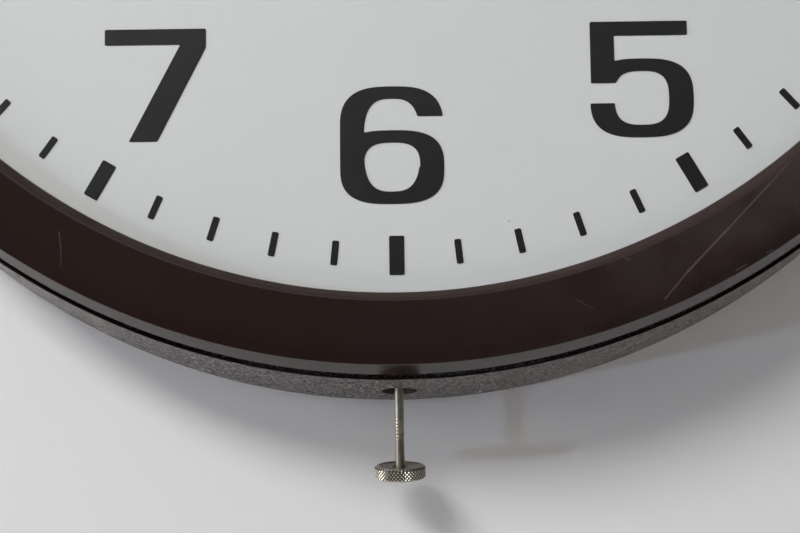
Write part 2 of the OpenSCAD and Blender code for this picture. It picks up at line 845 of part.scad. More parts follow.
module second_wheel() {
  color("gold") {
    gear(second_n, train_module, 90, second_wheel_z, wheel_t, second_arbor_r);
    ring(2.4, second_arbor_r, second_wheel_z + wheel_t, 0.5);
  }
}

module motor_pinion() {
  color("gold") translate([0, motor_y, 0]) {
    gear(motor_n, train_module, 282, second_wheel_z - 0.2, wheel_t + 0.4, 1);
    disc(1.4, back_low - 3.9, second_wheel_z + wheel_t + 0.2 - back_low + 3.9);
  }
}

module third_arbor() {
  color("silver") translate([third_x, 0, 0]) {
    disc(third_arbor_r, back_low + 0.2, front_top - back_low - 0.4);
    gear(third_pinion_n, clutch_module, 0, third_pinion_z, third_pinion_t,
      third_arbor_r - 0.2, 0.26, 0.09);
  }
}

module third_wheel() {
  color("gold") translate([third_x, 0, 0]) {
    gear(third_n, train_module, 3, third_wheel_z, wheel_t, third_arbor_r);
    ring(2, third_arbor_r, third_wheel_z - 0.6, 0.6);
  }
}

module clutch_wheel() {
  color("gold") gear(clutch_n, clutch_module, 180 + 180 / clutch_n, clutch_z, wheel_t,
    minute_out_r + running);
}

// Minute arbor, its slipping clutch and the motion work
module minute_arbor() {
  color("silver") difference() {
    union() {
      disc(minute_out_r, minute_collar_z, hand_nut_z + hand_nut_t - minute_collar_z);
      disc(minute_out_r + 2.2, minute_collar_z, minute_collar_t);
    }
    disc(minute_in_r, minute_collar_z - 1, face_z);
  }
}

module clutch_spring() {
  z = clutch_z + wheel_t + 0.05;
  color("orange") rotate_extrude() polygon([[minute_out_r, z + 0.5], [minute_out_r + 0.8, z + 0.5],
    [minute_out_r + 3.4, z], [minute_out_r + 3.6, z + 0.2], [minute_out_r + 0.9, z + 0.75],
    [minute_out_r, z + 0.75]]);
}

module cannon_pinion() {
  color("gold") gear(cannon_n, motion_module, 270, motion_low, motion_t, minute_out_r);
}

module minute_wheel() {
  color("gold") translate([0, stud_y, 0])
    gear(minute_n, motion_module, 94, motion_low, motion_t, stud_r + running);
}

module minute_pinion() {
  color("gold") translate([0, stud_y, 0]) {
    gear(minute_pinion_n, motion_module, 90, motion_high, motion_t, stud_r + running);
    ring(2.2, stud_r + running, motion_low + motion_t, motion_high - motion_low - motion_t);
  }
}

module hour_wheel() {
  color("gold") {
    gear(hour_n, motion_module, 270 + 180 / hour_n, motion_high, motion_t, hour_in_r);
    ring(hour_out_r, hour_in_r, motion_high + motion_t, hour_pipe_top - motion_high - motion_t);
  }
}

// Hands, drawn towards twelve and turned to the time shown at rest
hour_a = -30 * rest_hour - rest_minute / 2;
minute_a = -6 * rest_minute;
second_a = -6 * rest_second;

module hour_hand() {
  color("black") rotate([0, 0, hour_a]) difference() {
    union() {
      translate([0, 0, hour_hand_z + 0.4]) linear_extrude(hand_t) polygon([[-2.6, -hour_tail],
        [2.6, -hour_tail], [4.6, hour_hand_len - 6], [0, hour_hand_len], [-4.6, hour_hand_len - 6]]);
      disc(hour_out_r + 3, hour_hand_z, 1.6);
    }
    disc(hour_out_r, hour_hand_z - 1, 4);
  }
}

module minute_hand() {
  color("black") rotate([0, 0, minute_a]) difference() {
    union() {
      translate([0, 0, minute_hand_z + 0.35]) linear_extrude(hand_t) polygon([[-2, -minute_tail],
        [2, -minute_tail], [3.4, minute_hand_len - 5], [0, minute_hand_len], [-3.4, minute_hand_len - 5]]);
      disc(minute_out_r + 2.6, minute_hand_z, 1.2);
    }
    disc(minute_out_r, minute_hand_z - 1, 4);
  }
}

module hand_nut() {
  color("gold") difference() {
    translate([0, 0, hand_nut_z]) cylinder(r = minute_out_r + 1.6, h = hand_nut_t, $fn = 6);
    disc(minute_out_r, hand_nut_z - 1, 4);
  }
}

module second_hand() {
  color("firebrick") rotate([0, 0, second_a]) difference() {
    union() {
      translate([0, 0, second_hand_z + 0.3]) linear_extrude(hand_t) union() {
        polygon([[-second_half_w, -second_tail], [second_half_w, -second_tail],
          [second_half_w / 2, second_hand_len], [-second_half_w / 2, second_hand_len]]);
        translate([0, -second_tail]) circle(r = second_disc_r);
      }
      disc(3.4, second_hand_z, second_boss_t);
    }
    disc(second_arbor_r, second_hand_z - 1, 4);
  }
}

// Setting train
bracket_arm = 11;
bracket_low = rod_z - 3;
bracket_foot = 7;
bracket_spots = [for (sx = [-1, 1]) [sx * 7, bracket_y - bearing_t - 3]];

module along_rod(y0, y1) {
  translate([0, y1, rod_z]) rotate([90, 0, 0]) linear_extrude(y1 - y0) children();
}

module set_arbor() {
  color("silver") translate([0, set_y, 0])
    disc(set_arbor_r, rod_z + rod_pinion_r + 0.6, motion_low + motion_t + 0.4
      - rod_z - rod_pinion_r - 0.6);
}

module set_crown() {
  pitch_z = rod_z + rod_pinion_r;
  root_z = pitch_z + 0.65;
  half_w = 0.24 * 3.1416 * crown_module / 2;
  color("gold") translate([0, set_y, 0]) {
    ring(crown_r + crown_face / 2 + 0.3, set_arbor_r, root_z, 1.2);
    ring(set_arbor_r + 1.6, set_arbor_r, root_z + 1.2, front_low - 3.3 - root_z - 1.2);
    for (i = [0:crown_n - 1]) rotate([0, 0, 270 + i * 360 / crown_n])
      translate([crown_r - crown_face / 2, 0, root_z]) rotate([90, 0, 90])
        linear_extrude(crown_face) polygon([[-2 * half_w, 0.2], [-2 * half_w, 0],
          [-half_w, pitch_z - 0.45 - root_z], [half_w, pitch_z - 0.45 - root_z],
          [2 * half_w, 0], [2 * half_w, 0.2]]);
  }
}

module set_wheel() {
  color("gold") translate([0, set_y, 0])
    gear(set_n, motion_module, 99, motion_low, motion_t, set_arbor_r);
}

module set_rod() {
  color("silver") along_rod(-knob_y - knob_t + 0.6, rod_top_y) circle(r = rod_r);
}

module set_pinion() {
  hub_y = bracket_y + 0.3;
  face_y = set_y - crown_r - crown_face / 2 - 0.6;
  color("gold") {
    along_rod(face_y, rod_top_y) difference() {
      gear_shape(rod_pinion_n, crown_module, 108, 0.27, 0.1);
      circle(r = rod_r);
    }
    along_rod(hub_y, face_y) difference() {
      circle(r = rod_r + 1);
      circle(r = rod_r);
    }
  }
}

module set_knob() {
  top = -knob_y;
  low = -knob_y - knob_t;
  knurl_r = 0.35;
  color("silver") difference() {
    union() {
      along_rod(low + 0.5, top - 0.5) circle(r = knob_r - 0.18);
      translate([0, top, rod_z]) rotate([90, 0, 0]) cylinder(r1 = knob_r - 0.8, r2 = knob_r - 0.18, h = 0.5);
      translate([0, low + 0.5, rod_z]) rotate([90, 0, 0])
        cylinder(r1 = knob_r - 0.18, r2 = knob_r - 0.7, h = 0.5);
      for (i = [0:knurls - 1]) rotate_about_rod(i * 360 / knurls)
        translate([0, top - 0.5, knob_r - 0.4]) rotate([90, 0, 0])
          cylinder(r = knurl_r, h = knob_t - 1, $fn = 4);
    }
    along_rod(low + 0.6, top + 1) circle(r = rod_r);
  }
}

module rotate_about_rod(a) {
  translate([0, 0, rod_z]) rotate([0, a, 0]) children();
}

module rod_collar() {
  y = bracket_y - bearing_t - 0.3;
  color("silver") along_rod(y - 1.6, y) difference() {
    circle(r = rod_r + 1.4);
    circle(r = rod_r);
  }
}

module rod_bracket() {
  color("silver") difference() {
    union() {
      translate([-bracket_arm / 2, bracket_y - bearing_t, bracket_low])
        cube([bracket_arm, bearing_t, front_low - bracket_low]);
      translate([-bracket_arm, bracket_y - bearing_t - bracket_foot + 1, front_low - bearing_t])
        cube([2 * bracket_arm, bracket_foot - 1 + bearing_t, bearing_t]);
    }
    along_rod(bracket_y - 5, bracket_y + 5) circle(r = rod_r + running);
    at(bracket_spots) disc(1, 0, face_z);
  }
}

module bracket_screws() {
  color("silver") at(bracket_spots)
    screw_from_back(1, bearing_t + plate_t, 2, 1.2, front_low - bearing_t);
}

module rod_guide() {
  color("silver") difference() {
    union() {
      translate([-guide_w / 2, guide_y - 11, sheet]) cube([guide_w, 11, bearing_t]);
      translate([-6, guide_y - bearing_t, sheet]) cube([12, bearing_t, rod_z + 5 - sheet]);
    }
    along_rod(guide_y - 5, guide_y + 5) circle(r = rod_r + running);
    at(guide_spots) disc(rivet_r, 0, face_z);
  }
}

module guide_rivets() {
  color("gainsboro") at(guide_spots) {
    disc(rivet_r, 0, sheet + bearing_t);
    disc(rivet_r + 1.2, sheet + bearing_t, 1.1);
  }
}

// Stands a piece up: its back to the wall, twelve o'clock to the top
module stand() { rotate([90, 0, 0]) children(); }

stand() case_back();
stand() case_side();
stand() hanger_plate();
stand() hanger_rivets();
stand() cord_grommet();
stand() dial_posts();
stand() dial();
stand() dial_numerals();
stand() dial_marks();
stand() dial_screws();
stand() bezel();
stand() lens();
stand() lens_gasket();
stand() bezel_clips();
stand() clip_screws();
stand() movement_posts();
stand() movement_screws();
stand() front_plate();
stand() back_plate();
stand() plate_pillars();
stand() pillar_screws();
stand() centre_bush();
stand() rear_bush();
stand() minute_stud();
stand() set_bush();
stand() stator_core();
stand() stator_screws();
stand() coil_bobbin();
stand() coil_winding();
stand() rotor_can();
stand() rod_bracket();
stand() bracket_screws();
stand() rod_guide();
stand() guide_rivets();
stand() terminal_block();
stand() terminal_screws();
stand() coil_leads();
stand() second_arbor();
stand() second_wheel();
stand() second_hand();
stand() motor_pinion();
stand() third_arbor();
stand() third_wheel();
stand() clutch_wheel();
stand() minute_arbor();
stand() clutch_spring();
stand() cannon_pinion();
stand() minute_hand();
stand() hand_nut();
stand() minute_wheel();
stand() minute_pinion();
stand() hour_wheel();
stand() hour_hand();
stand() set_arbor();
stand() set_crown();
stand() set_wheel();
stand() set_rod();
stand() set_pinion();
stand() set_knob();
stand() rod_collar();
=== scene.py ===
from math import atan2, cos, hypot, pi, radians, sin, sqrt

import bmesh
import bpy
from mathutils import Matrix, Vector


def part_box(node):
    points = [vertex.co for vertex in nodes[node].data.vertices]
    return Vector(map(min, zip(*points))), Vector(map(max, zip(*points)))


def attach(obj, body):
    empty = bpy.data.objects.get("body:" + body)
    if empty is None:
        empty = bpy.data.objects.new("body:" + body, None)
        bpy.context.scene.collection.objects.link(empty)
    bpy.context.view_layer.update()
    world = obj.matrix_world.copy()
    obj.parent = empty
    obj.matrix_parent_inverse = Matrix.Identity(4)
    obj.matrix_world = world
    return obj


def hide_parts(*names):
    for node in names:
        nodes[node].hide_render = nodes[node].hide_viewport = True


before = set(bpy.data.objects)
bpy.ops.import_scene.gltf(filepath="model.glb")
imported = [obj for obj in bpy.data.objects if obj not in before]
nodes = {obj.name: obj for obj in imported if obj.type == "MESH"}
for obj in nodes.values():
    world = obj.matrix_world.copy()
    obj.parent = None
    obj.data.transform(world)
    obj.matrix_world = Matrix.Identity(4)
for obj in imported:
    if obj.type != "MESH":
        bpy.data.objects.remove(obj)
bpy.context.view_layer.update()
scene = bpy.context.scene
mm = 0.001

# The camera stands low and close, looks slightly up at the lower part of the dial, and is turned
# a little about its own axis. Its place was solved from the minute marks and the rim's rings.
camera_place = (0.0011, -0.2375, -0.1592)
camera_yaw, camera_pitch, camera_roll = radians(-0.1), radians(2.81), radians(-0.78)
focal_mm, sensor_mm = 37.35, 36
camera_data = bpy.data.cameras.new("camera")
camera_data.lens, camera_data.sensor_width = focal_mm, sensor_mm
camera_data.clip_start = 0.01
camera = bpy.data.objects.new("camera", camera_data)
scene.collection.objects.link(camera)
camera.matrix_world = (
    Matrix.Translation(camera_place)
    @ Matrix.Rotation(-camera_yaw, 4, "Z")
    @ Matrix.Rotation(pi / 2 + camera_pitch, 4, "X")
    @ Matrix.Rotation(camera_roll, 4, "Z")
)
scene.camera = camera

# The wall that the clock hangs on and the floor below are plain pale surfaces. The wall is clear
# from behind, and clear to light right behind the clock, so that the clock's back shows and is lit.
wall_size, wall_middle, wall_colour = 8, (0, 0.0004, 0), (0.728, 0.715, 0.708)
wall_clear_r = 0.183
floor_size, floor_middle, floor_colour = 2.6, (0, 0.57, -0.95), (0.86, 0.84, 0.81)


def add(tree, kind, **settings):
    """A node with some of its inputs, whose names begin with a capital, and of its settings."""
    node = tree.nodes.new("ShaderNode" + kind)
    for label, value in settings.items():
        if label[0].isupper():
            node.inputs[label.replace("_", " ")].default_value = value
        else:
            setattr(node, label, value)
    return node


def solve(tree, kind, operation, *sources, **settings):
    """The answer of a Math or VectorMath node, from sources that are sockets or values."""
    node = add(tree, kind, operation=operation, **settings)
    for socket, source in zip(node.inputs, sources):
        if isinstance(source, bpy.types.NodeSocket):
            tree.links.new(source, socket)
        else:
            socket.default_value = source
    is_number = kind == "Math" or operation in ("LENGTH", "DISTANCE", "DOT_PRODUCT")
    return node.outputs["Value" if is_number else "Vector"]


def mix_shaders(tree, share, first, second):
    """Goes from the first node's shader to the second's as the share goes from 0 to 1."""
    node = add(tree, "MixShader")
    for socket, source in zip(node.inputs, (share, first.outputs[0], second.outputs[0])):
        tree.links.new(source, socket)
    return node.outputs[0]


def new_material(name, **shader_values):
    """A material with an output, a Principled shader with these values, and nothing else."""
    material = bpy.data.materials.new(name)
    material.use_nodes = True
    tree = material.node_tree
    tree.nodes.clear()
    output = add(tree, "OutputMaterial")
    shader = add(tree, "BsdfPrincipled", **shader_values)
    tree.links.new(shader.outputs[0], output.inputs["Surface"])
    return material, tree, shader


def flat_sheet(name, size, middle, across, up, material):
    """A large flat sheet of the stage from its middle and two directions."""
    sheet = bmesh.new()
    across, up = Vector(across) * size / 2, Vector(up) * size / 2
    around = [-across - up, across - up, across + up, -across + up]
    sheet.faces.new([sheet.verts.new(Vector(middle) + v) for v in around])
    mesh = bpy.data.meshes.new(name)
    sheet.to_mesh(mesh)
    thing = bpy.data.objects.new(name, mesh)
    thing.data.materials.append(material)
    scene.collection.objects.link(thing)


def one_sided(name, colour, clear_radius):
    """Matt paint that is clear from behind, and clear to light inside a circle about its middle."""
    material, tree, shader = new_material(name, Base_Color=(*colour, 1), Roughness=0.9,
                                          Specular_IOR_Level=0.2)
    geometry = add(tree, "NewGeometry")
    rays = add(tree, "LightPath")
    where = add(tree, "TexCoord")
    clear = add(tree, "BsdfTransparent")
    reach = solve(tree, "VectorMath", "LENGTH", where.outputs["Object"])
    inside = solve(tree, "Math", "LESS_THAN", reach, clear_radius)
    light_in = solve(tree, "Math", "MULTIPLY", rays.outputs["Is Shadow Ray"], inside)
    through = solve(tree, "Math", "MAXIMUM", geometry.outputs["Backfacing"], light_in)
    tree.links.new(mix_shaders(tree, through, shader, clear),
                   tree.nodes["Material Output"].inputs["Surface"])
    return material


wall_paint = one_sided("wall_paint", wall_colour, wall_clear_r)
floor_paint = new_material("pale_floor", Base_Color=(*floor_colour, 1), Roughness=0.8)[0]
flat_sheet("wall", wall_size, wall_middle, (1, 0, 0), (0, 0, 1), wall_paint)
flat_sheet("floor", floor_size, floor_middle, (1, 0, 0), (0, 1, 0), floor_paint)

# Plain soft studio light: a wide key from the upper left, light from the left with a small
# sharp part, a weak light from the right, and one behind the wall for the back.
lit_point = Vector((0, 0, -0.1))


def area_light(name, place, size, power, colour=(1, 1, 1)):
    """An oval lamp that faces the lower part of the clock, with its size in metres."""
    data = bpy.data.lights.new(name, "AREA")
    data.shape = "ELLIPSE"
    data.size, data.size_y = size
    data.energy, data.color = power, colour
    lamp = bpy.data.objects.new(name, data)
    lamp.location = place
    lamp.rotation_euler = (lit_point - lamp.location).to_track_quat("-Z", "Y").to_euler()
    scene.collection.objects.link(lamp)


area_light("key", place=(-1.04, -1.44, 1.3), size=(1.06, 0.5), power=38)
area_light("window", place=(-2.0, -0.96, -0.33), size=(0.08, 0.08), power=8.5,
           colour=(0.56, 0.69, 1))
area_light("left", place=(-2.17, -0.23, 0.27), size=(0.84, 0.84), power=34)
area_light("side", place=(0.79, -1.96, 0.37), size=(1.2, 0.4), power=1.3,
           colour=(1, 0.95, 0.95))
area_light("behind", place=(0.3, 2.0, 0.8), size=(1.6, 1.6), power=45)

# The room in front of the clock is dim, and dimmest low down and on the right, which the gloss
# of the bezel shows. Everything behind the clock is pale to the eye, and in clear and glossy pieces.
world = bpy.data.worlds.new("room")
scene.world = world
world.use_nodes = True
room = world.node_tree
room.nodes.clear()


def ramp(tree, source, low, high, from_value=0.0, to_value=1.0):
    """Stretches a mask, so that low becomes from_value and high becomes to_value."""
    node = add(tree, "MapRange", From_Min=low, From_Max=high, To_Min=from_value, To_Max=to_value)
    tree.links.new(source, node.inputs["Value"])
    return node.outputs[0]


towards = add(room, "TexCoord")
parts = add(room, "SeparateXYZ")
rays = add(room, "LightPath")
room.links.new(towards.outputs["Generated"], parts.inputs[0])
low_room = ramp(room, parts.outputs["Z"], -0.5, 0.1, 0.075, 0.16)
ceiling = ramp(room, parts.outputs["Z"], 0.15, 0.6, 0, 0.42)
right_side = ramp(room, parts.outputs["X"], -0.2, 0.7, 1, 0.5)
front = solve(room, "Math", "ADD", low_room, ceiling)
shade = solve(room, "Math", "MULTIPLY", front, right_side)
clear_or_gloss = solve(room, "Math", "MAXIMUM", rays.outputs["Is Transmission Ray"],
                       rays.outputs["Is Glossy Ray"])
back_half = solve(room, "Math", "GREATER_THAN", parts.outputs["Y"], 0.0)
beyond = solve(room, "Math", "MULTIPLY", clear_or_gloss, back_half)
seen = solve(room, "Math", "MAXIMUM", rays.outputs["Is Camera Ray"], beyond)
dim = add(room, "Background", Color=(1, 0.965, 0.93, 1))
room.links.new(shade, dim.inputs["Strength"])
pale = add(room, "Background", Color=(0.86, 0.86, 0.87, 1), Strength=1.0)
room_out = add(room, "OutputWorld")
room.links.new(mix_shaders(room, seen, dim, pale), room_out.inputs["Surface"])

# The case's side is spun from steel sheet, flared towards the wall, and baked with a brown
# wrinkle paint over dark primer, which is left bare inside. The setting rod leaves it at the
# bottom through a plain round hole.


def node_group(name, sockets_in, sockets_out):
    """A shader node group with named sockets; each is (name, type, default)."""
    tree = bpy.data.node_groups.new(name, "ShaderNodeTree")
    for label, kind, value in sockets_in:
        socket = tree.interface.new_socket(label, in_out="INPUT", socket_type="NodeSocket" + kind)
        socket.default_value = value
    for label, kind in sockets_out:
        tree.interface.new_socket(label, in_out="OUTPUT", socket_type="NodeSocket" + kind)
    return tree, tree.nodes.new("NodeGroupInput"), tree.nodes.new("NodeGroupOutput")


def use(tree, group, **values):
    """Places a group in a material and sets its inputs."""
    return add(tree, "Group", node_tree=group, **values)


def blend_colours(tree, mask, first, second):
    """Goes from the first colour to the second with the mask; either may be a socket."""
    node = add(tree, "Mix", data_type="RGBA")
    for socket, colour in ((node.inputs[6], first), (node.inputs[7], second)):
        if isinstance(colour, tuple):
            socket.default_value = (*colour, 1)
        else:
            tree.links.new(colour, socket)
    tree.links.new(mask, node.inputs[0])
    return node.outputs[2]


# Fine grain: how high the skin of a finish stands, and a slow cloudy mask over it
grain, grain_in, grain_out = node_group(
    "grain",
    [("Size", "Float", 0.001), ("Stretch", "Vector", (1, 1, 1)), ("Cloud Size", "Float", 0.03)],
    [("Height", "Float"), ("Cloud", "Float")],
)
where = add(grain, "TexCoord").outputs["Object"]
stretched = solve(grain, "VectorMath", "MULTIPLY", where, grain_in.outputs["Stretch"])
fine_scale = solve(grain, "Math", "DIVIDE", 1.0, grain_in.outputs["Size"])
cloud_scale = solve(grain, "Math", "DIVIDE", 1.0, grain_in.outputs["Cloud Size"])
fine = add(grain, "TexNoise", Detail=3.0, Roughness=0.6)
cloud = add(grain, "TexNoise", Detail=4.0, Roughness=0.55)
grain.links.new(stretched, fine.inputs["Vector"])
grain.links.new(fine_scale, fine.inputs["Scale"])
grain.links.new(fine.outputs[0], grain_out.inputs["Height"])
grain.links.new(where, cloud.inputs["Vector"])
grain.links.new(cloud_scale, cloud.inputs["Scale"])
grain.links.new(cloud.outputs[0], grain_out.inputs["Cloud"])


def cloudy_colour(tree, shader, skin, first, second):
    """Colours the finish with the first colour, clouded with the second."""
    colour = blend_colours(tree, skin.outputs["Cloud"], first, second)
    tree.links.new(colour, shader.inputs["Base Color"])


def uneven_gloss(tree, shader, skin, low, high):
    """Makes the finish rougher, from the low to the high value, where its skin stands up."""
    roughness = ramp(tree, skin.outputs["Height"], 0.3, 0.7, low, high)
    tree.links.new(roughness, shader.inputs["Roughness"])


def bump(tree, shader, skin, distance):
    """Raises the finish where its skin stands up, by at most the distance in metres."""
    node = add(tree, "Bump", Distance=distance)
    tree.links.new(skin.outputs["Height"], node.inputs["Height"])
    tree.links.new(node.outputs[0], shader.inputs["Normal"])


def finish_mesh(name, shape, body, slot, material, *stands_for, sharp=32):
    """Ends a piece: outward normals, sharp edges where it turns, its body and finish; its slot is not
    used.
    """
    bmesh.ops.remove_doubles(shape, verts=shape.verts, dist=1e-7)
    bmesh.ops.recalc_face_normals(shape, faces=shape.faces)
    for face in shape.faces:
        face.smooth = True
    for edge in shape.edges:
        edge.smooth = edge.is_manifold and edge.calc_face_angle(pi) < radians(sharp)
    mesh = bpy.data.meshes.new(name)
    shape.to_mesh(mesh)
    shape.free()
    mesh.materials.append(material)
    piece = bpy.data.objects.new(name, mesh)
    scene.collection.objects.link(piece)
    flats = piece.modifiers.new("flats", "WEIGHTED_NORMAL")
    flats.keep_sharp = True
    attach(piece, body)
    if stands_for:
        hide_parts(*stands_for)
    return piece


ring_steps = 512
rounding_steps = 5


def turned(outline, closed=True, steps=ring_steps):
    """A ring, or with an open outline a dome, turned about the clock's axis. A point is its radius
    and its height above the wall in mm, and the size of its rounding, if it has one."""
    shape = bmesh.new()
    corners = [shape.verts.new((p[0] * mm, -p[1] * mm, 0)) for p in outline]
    back_to_start = corners[:1] if closed else []
    for first, second in zip(corners, corners[1:] + back_to_start):
        shape.edges.new((first, second))
    for corner, point in zip(corners, outline):
        if len(point) > 2:
            bmesh.ops.bevel(shape, geom=[corner], offset=point[2] * mm, segments=rounding_steps,
                            profile=0.5, affect="VERTICES", material=-1)
    bmesh.ops.spin(shape, geom=shape.verts[:] + shape.edges[:], axis=(0, 1, 0), cent=(0, 0, 0),
                   angle=2 * pi, steps=steps, use_merge=True)
    return shape


case_low, case_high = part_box("case_side")
case_back_r = case_high.x / mm
case_h = -case_low.y / mm
case_flare = 8.0
case_front_r = case_back_r - case_flare
sheet_t = 1.2
case_bend_r = 2.0
inner_bend_r = case_bend_r - sheet_t
bend_steps = 6
seam_r = case_back_r - case_bend_r
rod_z = 15.0
stem_hole_r = 4.7
drill_len = 30
drill_sides = 64

case_paint, tree, shader = new_material("case_paint")
skin = use(tree, grain, Size=0.00095, Stretch=(1, 0.5, 1), Cloud_Size=0.03)
paint_dark = (0.022, 0.015, 0.013)
paint_brown = (0.036, 0.026, 0.023)
# The wrinkle peaks are painted much lighter than the ground, as painted glints
painted_glint_colour = (0.225, 0.194, 0.173)
ground = blend_colours(tree, skin.outputs["Cloud"], paint_dark, paint_brown)
painted_glint_mask = ramp(tree, skin.outputs["Height"], 0.47, 0.6)
tree.links.new(blend_colours(tree, painted_glint_mask, ground, painted_glint_colour), shader.inputs["Base Color"])
tree.links.new(ramp(tree, skin.outputs["Height"], 0.4, 0.62, 0.5, 0.15), shader.inputs["Roughness"])
bump(tree, shader, skin, 0.0013)

quarter_turn = [pi / 2 * i / bend_steps for i in range(bend_steps + 1)]
bend = [(seam_r + case_bend_r * sin(turn), case_bend_r * (1 - cos(turn))) for turn in quarter_turn]
inner_bend = [(seam_r + inner_bend_r * sin(turn), case_bend_r - inner_bend_r * cos(turn))
              for turn in reversed(quarter_turn)]

# The sheet is thinned at its front edge, so that a dark gap shows round the bezel
gap_depth = 3.5
thin_top_t = 0.07
thin_foot_t = 0.2
front_edge = [
    (case_front_r, case_h, 0.03),
    (case_front_r - thin_top_t, case_h),
    (case_front_r - thin_foot_t, case_h - gap_depth),
    (case_front_r - sheet_t, case_h - gap_depth),
]
band = turned(bend + front_edge + inner_bend)
case_side = finish_mesh("case_band", band, "case", "case_paint", case_paint, "case_side")

# The hole is drilled by a round bar, and the piece gets its modifier for flat faces back after it
drill = bmesh.new()
bmesh.ops.create_cone(drill, cap_ends=True, segments=drill_sides, radius1=stem_hole_r * mm,
                      radius2=stem_hole_r * mm, depth=drill_len * mm)
bmesh.ops.translate(drill, verts=drill.verts, vec=(0, -rod_z * mm, -case_front_r * mm))
drill_mesh = bpy.data.meshes.new("drill")
drill.to_mesh(drill_mesh)
drill_piece = bpy.data.objects.new("drill", drill_mesh)
scene.collection.objects.link(drill_piece)
hole = case_side.modifiers.new("stem_hole", "BOOLEAN")
hole.object, hole.operation, hole.solver = drill_piece, "DIFFERENCE", "EXACT"
case_side.modifiers.remove(case_side.modifiers["flats"])
depsgraph = bpy.context.evaluated_depsgraph_get()
drilled = bpy.data.meshes.new_from_object(case_side.evaluated_get(depsgraph))
case_side.modifiers.clear()
case_side.modifiers.new("flats", "WEIGHTED_NORMAL").keep_sharp = True
case_side.data = drilled
bpy.data.objects.remove(drill_piece)

primer, tree, shader = new_material("primer", Specular_IOR_Level=0.1)
skin = use(tree, grain, Size=0.0008, Cloud_Size=0.02)
cloudy_colour(tree, shader, skin, (0.075, 0.056, 0.047), (0.1, 0.078, 0.066))
uneven_gloss(tree, shader, skin, 0.55, 0.75)
bump(tree, shader, skin, 0.00003)
drilled.materials.append(primer)

# The primer shows on the inner side, and on the edge of the hole to within a hair, where it is put as
# painted shade to keep the hole dark
hair = 0.01
for face in drilled.polygons:
    middle, way = face.center, face.normal
    inner_side = middle.x * way.x + middle.z * way.z < 0
    hole_edge_painted_shade = (middle.z < 0 and abs(way.z) < 0.5
                 and hypot(middle.x, middle.y + rod_z * mm) < (stem_hole_r + hair) * mm)
    if inner_side or hole_edge_painted_shade:
        face.material_index = 1

# The flat back is a steel disc with a pressed ring for stiffness, ventilation slots, a keyhole
# and a hole for the lead's grommet. It has the same paint as the side.
nodes["case_back"].data.materials.clear()
nodes["case_back"].data.materials.append(case_paint)

# The hanger plate, posts, screws, rivets, clips and brackets are zinc-plated or bright steel, and
# the movement's plates and wheels are brass, round a stack of dark laminations. They keep their
# machined shapes and get their metal here.


def metal(name, colour, dark, roughness, size, stretch, depth=0.00004):
    """Plain metal with drawing or rolling lines and a cloudy tarnish."""
    material, tree, shader = new_material(name, Metallic=1.0)
    skin = use(tree, grain, Size=size, Stretch=stretch, Cloud_Size=0.012)
    tarnish = ramp(tree, skin.outputs["Cloud"], 0.42, 0.66)
    tree.links.new(blend_colours(tree, tarnish, colour, dark), shader.inputs["Base Color"])
    uneven_gloss(tree, shader, skin, roughness - 0.07, roughness + 0.09)
    bump(tree, shader, skin, depth)
    return material


def dress(material, *names):
    """Gives carried-over CAD nodes their finish."""
    for name in names:
        nodes[name].data.materials.clear()
        nodes[name].data.materials.append(material)


zinc = metal("zinc_plate", colour=(0.6, 0.6, 0.57), dark=(0.42, 0.4, 0.34), roughness=0.38,
             size=0.0007, stretch=(1, 1, 1))
dress(zinc, "hanger_plate", "hanger_rivets", "dial_posts", "dial_screws", "clip_screws",
      "movement_screws", "pillar_screws", "stator_screws", "rod_bracket", "bracket_screws",
      "rod_guide", "guide_rivets", "rod_collar")
bright_steel = metal("bright_steel", colour=(0.55, 0.55, 0.55), dark=(0.4, 0.39, 0.37), roughness=0.26,
                     size=0.0004, stretch=(1, 0.1, 1))
dress(bright_steel, "bezel_clips", "minute_stud", "second_arbor", "third_arbor", "minute_arbor",
      "clutch_spring", "set_arbor")
brass = metal("brass", colour=(0.72, 0.52, 0.22), dark=(0.45, 0.28, 0.1), roughness=0.3,
              size=0.0005, stretch=(1, 1, 1))
dress(brass, "movement_posts", "front_plate", "back_plate", "plate_pillars", "centre_bush",
      "rear_bush", "set_bush", "terminal_screws", "second_wheel", "motor_pinion", "third_wheel",
      "clutch_wheel", "cannon_pinion", "hand_nut", "minute_wheel", "minute_pinion", "hour_wheel",
      "set_crown", "set_wheel", "set_pinion")
can_metal = metal("can_metal", colour=(0.5, 0.36, 0.17), dark=(0.33, 0.22, 0.1), roughness=0.36,
                  size=0.0006, stretch=(1, 0.1, 1))
dress(can_metal, "rotor_can")
lamination = metal("lamination", colour=(0.14, 0.14, 0.15), dark=(0.09, 0.085, 0.08), roughness=0.5,
                   size=0.0005, stretch=(0.05, 1, 0.05))
dress(lamination, "stator_core")

# Moulded and wound pieces inside: the coil's bobbin and tape, the terminal board, the covered
# leads, the felt ring under the lens and the rubber grommet for the lead.


def moulded(name, colour, dark, roughness, size, depth, stretch=(1, 1, 1)):
    """A plain moulding, board, cloth or rubber with fine grain and a cloudy colour."""
    material, tree, shader = new_material(name)
    skin = use(tree, grain, Size=size, Stretch=stretch, Cloud_Size=0.008)
    cloudy_colour(tree, shader, skin, colour, dark)
    uneven_gloss(tree, shader, skin, roughness - 0.06, roughness + 0.06)
    bump(tree, shader, skin, depth)
    return material


